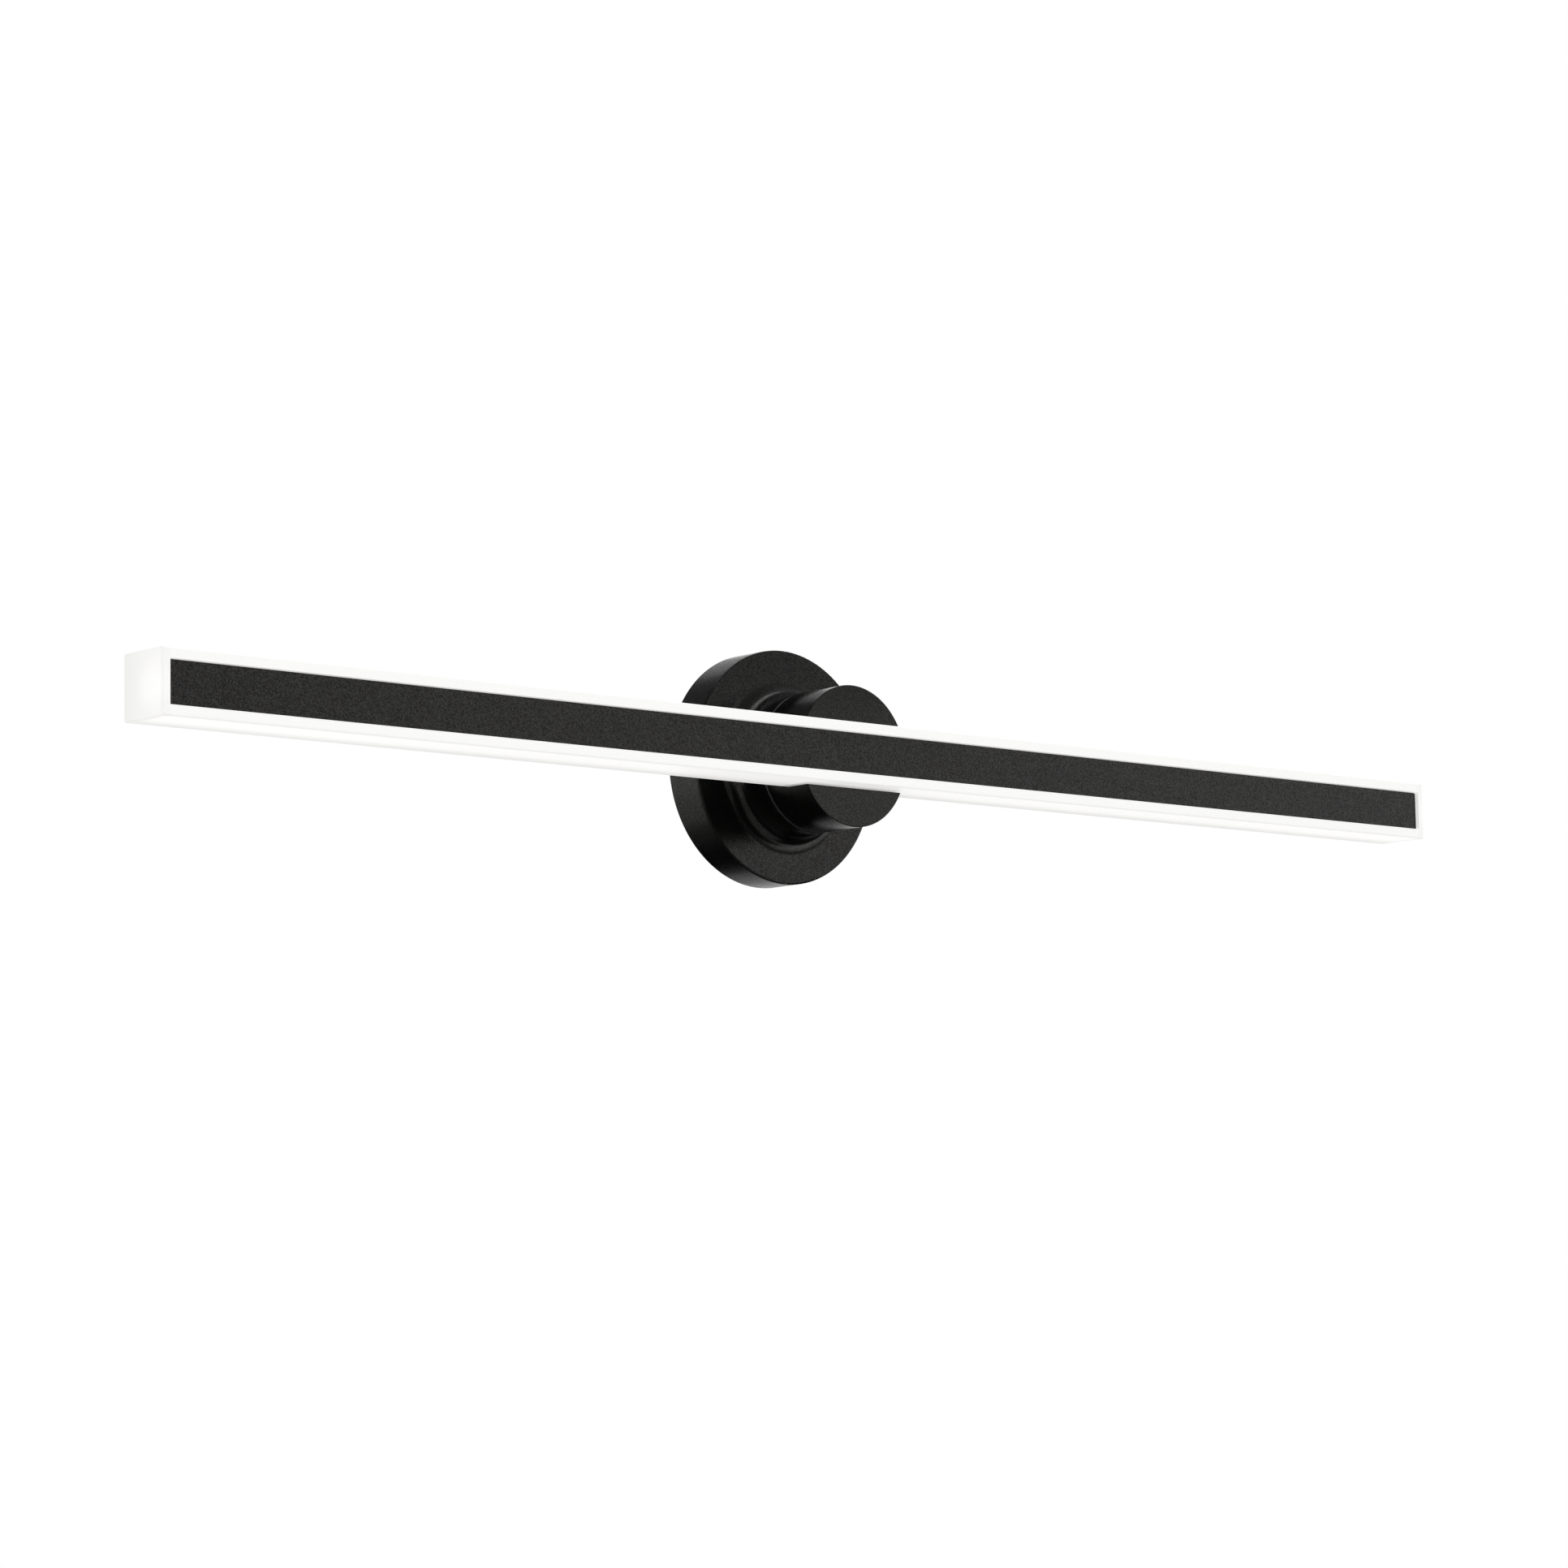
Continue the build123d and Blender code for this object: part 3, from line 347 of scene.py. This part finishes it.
floor_tree.links.new(floor_side.outputs["Backfacing"], floor_top.inputs[1])
floor_tree.links.new(floor_fade.outputs["Result"], floor_seen.inputs[0])
floor_tree.links.new(floor_top.outputs["Value"], floor_seen.inputs[1])
floor_tree.links.new(floor_seen.outputs["Value"], floor_shader.inputs["Alpha"])
floor.data.materials.append(pale_floor)

# Studio cards.
# Flat cards round the light that only mirrored rays see, as a photographer sets them up for a black coat.
# Black ones keep the flanks dark, grey ones shade the faces and the cove, two bright ones draw soft edges.
card_floor = -0.60
card_ceiling = 0.75
card_step = 0.01
card_front = -2.3
card_right = -1.4
card_back = 1.25
flag_left = (0.174, -0.379)
flag_right = (0.302, -0.267)
flag_foot = 0.075
flag_top = 0.25


def mirror_card(name, corners, grey):
    """Even card between its corner points, with this level of grey, that only shows in reflections."""
    card = stage_sheet(name, corners)
    material = bpy.data.materials.new(name)
    material.use_nodes = True
    shader = material.node_tree.nodes["Principled BSDF"]
    shader.inputs["Base Color"].default_value = (0.0, 0.0, 0.0, 1.0)
    shader.inputs["Specular IOR Level"].default_value = 0.0
    shader.inputs["Emission Color"].default_value = (grey, grey, grey, 1.0)
    shader.inputs["Emission Strength"].default_value = 1.0
    card.data.materials.append(material)
    card.visible_camera = False
    card.visible_diffuse = False
    card.visible_shadow = False
    card.visible_transmission = False


def level_card(name, height, outline, grey):
    """Card that lies level at a height, with its outline drawn in x and y."""
    mirror_card(name, [(x, y, height) for x, y in outline], grey)


def upright_card(name, place, outline, grey):
    """Card that stands parallel to the wall at a place in y, with its outline drawn in x and z."""
    mirror_card(name, [(x, place, z) for x, z in outline], grey)


low_front_outline = ((-1.2, -2.3), (0.85, -2.3), (0.66, -1.0), (0.60, -0.55), (-0.5, -0.55), (-1.2, -0.95))
low_back_outline = (
    (-1.2, -0.12), (0.3, -0.12), (0.3, -0.4), (3.2, -0.4), (3.2, 1.9),
    (1.2, 0.66), (0.35, 0.66), (0.25, 1.1), (-0.1, 0.81), (-1.2, 0.81),
)
low_far_outline = ((0.35, 0.66), (1.2, 0.66), (2.0, 1.15), (2.0, 1.25), (0.25, 1.25), (0.25, 1.1))
low_bright_outline = ((0.5, -0.4), (0.60, -0.55), (0.66, -1.0), (0.71, -1.35), (1.8, -1.35), (1.8, -0.4))
low_right_outline = ((0.2, -0.60), (1.0, -0.60), (1.0, -0.36), (2.2, -0.36), (2.2, -0.07), (0.2, -0.07))
high_line_outline = ((-0.3, -0.2), (0.5, 0.05), (0.5, 0.42), (-0.3, 0.13))
high_back_outline = ((-1.2, -0.2), (-0.3, 0.13), (0.5, 0.42), (1.0, 0.6), (1.0, 0.7), (-1.2, 0.7))
near_flag_corners = (
    (*flag_left, flag_foot), (*flag_right, flag_foot), (*flag_right, flag_top), (*flag_left, flag_top),
)
level_card("low_front_card", card_floor, low_front_outline, grey=0.0)
level_card("low_back_card", card_floor, low_back_outline, grey=0.0)
level_card("low_far_card", card_floor, low_far_outline, grey=0.4)
level_card("low_middle_card", card_floor, oblong(-0.7, 0.3, -0.55, -0.12), grey=0.4)
level_card("low_bright_card", card_floor, low_bright_outline, grey=1.3)
upright_card("low_right_card", card_right, low_right_outline, grey=0.08)
upright_card("right_foot_card", card_right, oblong(1.0, 2.2, -0.60, -0.36), grey=0.8)
level_card("high_card", card_ceiling, oblong(-1.2, 0.35, -1.5, 0.3), grey=0.3)
level_card("high_line_card", card_ceiling - card_step, high_line_outline, grey=2.2)
level_card("high_back_card", card_ceiling - card_step, high_back_outline, grey=0.0)
level_card("right_card", card_ceiling, oblong(0.35, 1.5, -1.5, 0.3), grey=0.4)
upright_card("camera_side_card", card_front, oblong(-3.4, -0.7, -0.6, 1.6), grey=0.0)
upright_card("front_card", card_front, oblong(-0.7, 0.8, -0.6, 1.6), grey=0.4)
upright_card("back_left_card", card_back, oblong(-1.6, 0.3, 0.33, 2.4), grey=0.17)
upright_card("back_right_card", card_back, oblong(0.3, 0.97, 0.33, 2.4), grey=0.5)
upright_card("back_low_card", card_back, oblong(0.7, 1.8, -0.6, 0.02), grey=0.6)
mirror_card("near_flag", near_flag_corners, grey=0.58)

# Surround and lamps.
# A white surround that the camera and the reflections see, dimmer as a light, with two soft lamps.
surround_light = 0.60
surround_seen = 1.0
world = bpy.data.worlds.new("white_surround")
bpy.context.scene.world = world
world.use_nodes = True
sky = world.node_tree
sky.nodes.clear()
rays = sky.nodes.new("ShaderNodeLightPath")
seen_or_mirrored = sky.nodes.new("ShaderNodeMath")
seen_or_mirrored.operation = "MAXIMUM"
seen_mirrored_or_through = sky.nodes.new("ShaderNodeMath")
seen_mirrored_or_through.operation = "MAXIMUM"
level = sky.nodes.new("ShaderNodeMapRange")
level.inputs["To Min"].default_value = surround_light
level.inputs["To Max"].default_value = surround_seen
surround = sky.nodes.new("ShaderNodeBackground")
surround.inputs["Color"].default_value = (1.0, 1.0, 1.0, 1.0)
surround_output = sky.nodes.new("ShaderNodeOutputWorld")
sky.links.new(rays.outputs["Is Camera Ray"], seen_or_mirrored.inputs[0])
sky.links.new(rays.outputs["Is Glossy Ray"], seen_or_mirrored.inputs[1])
sky.links.new(seen_or_mirrored.outputs["Value"], seen_mirrored_or_through.inputs[0])
sky.links.new(rays.outputs["Is Transmission Ray"], seen_mirrored_or_through.inputs[1])
sky.links.new(seen_mirrored_or_through.outputs["Value"], level.inputs["Value"])
sky.links.new(level.outputs["Result"], surround.inputs["Strength"])
sky.links.new(surround.outputs["Background"], surround_output.inputs["Surface"])


def soft_lamp(name, place, size, watts):
    """Square area lamp at a place, turned towards the light bar."""
    lamp = bpy.data.lights.new(name, "AREA")
    lamp.shape = "SQUARE"
    lamp.size = size
    lamp.energy = watts
    lamp_object = bpy.data.objects.new(name, lamp)
    lamp_object.location = place
    lamp_object.rotation_euler = (-Vector(place)).to_track_quat("-Z", "Y").to_euler()
    bpy.context.scene.collection.objects.link(lamp_object)


soft_lamp("key_lamp", place=(-1.3, -2.2, 1.6), size=1.6, watts=12.0)
soft_lamp("top_lamp", place=(0.4, -0.6, 2.4), size=1.8, watts=12.0)

# Camera.
# Left of the bar and below it, turned a little about its own axis, with the photograph's angle of view.
camera_place = Vector((-1.70333, -1.92054, -0.33738))
camera_sight = Vector((0.66216, 0.73842, 0.12758)).normalized()
camera_roll = math.radians(-1.0)
image_pixels = 1932
focal_pixels = 5750.8
photo_camera = bpy.data.cameras.new("photo_camera")
photo_camera.sensor_width = 36.0
photo_camera.lens = focal_pixels / image_pixels * photo_camera.sensor_width
photo_camera.clip_end = 50.0
camera_object = bpy.data.objects.new("photo_camera", photo_camera)
level_turn = camera_sight.to_track_quat("-Z", "Y").to_matrix().to_4x4()
roll_turn = Matrix.Rotation(camera_roll, 4, "Z")
camera_object.matrix_world = Matrix.Translation(camera_place) @ level_turn @ roll_turn
bpy.context.scene.collection.objects.link(camera_object)
bpy.context.scene.camera = camera_object
bpy.context.scene.view_settings.view_transform = "Standard"
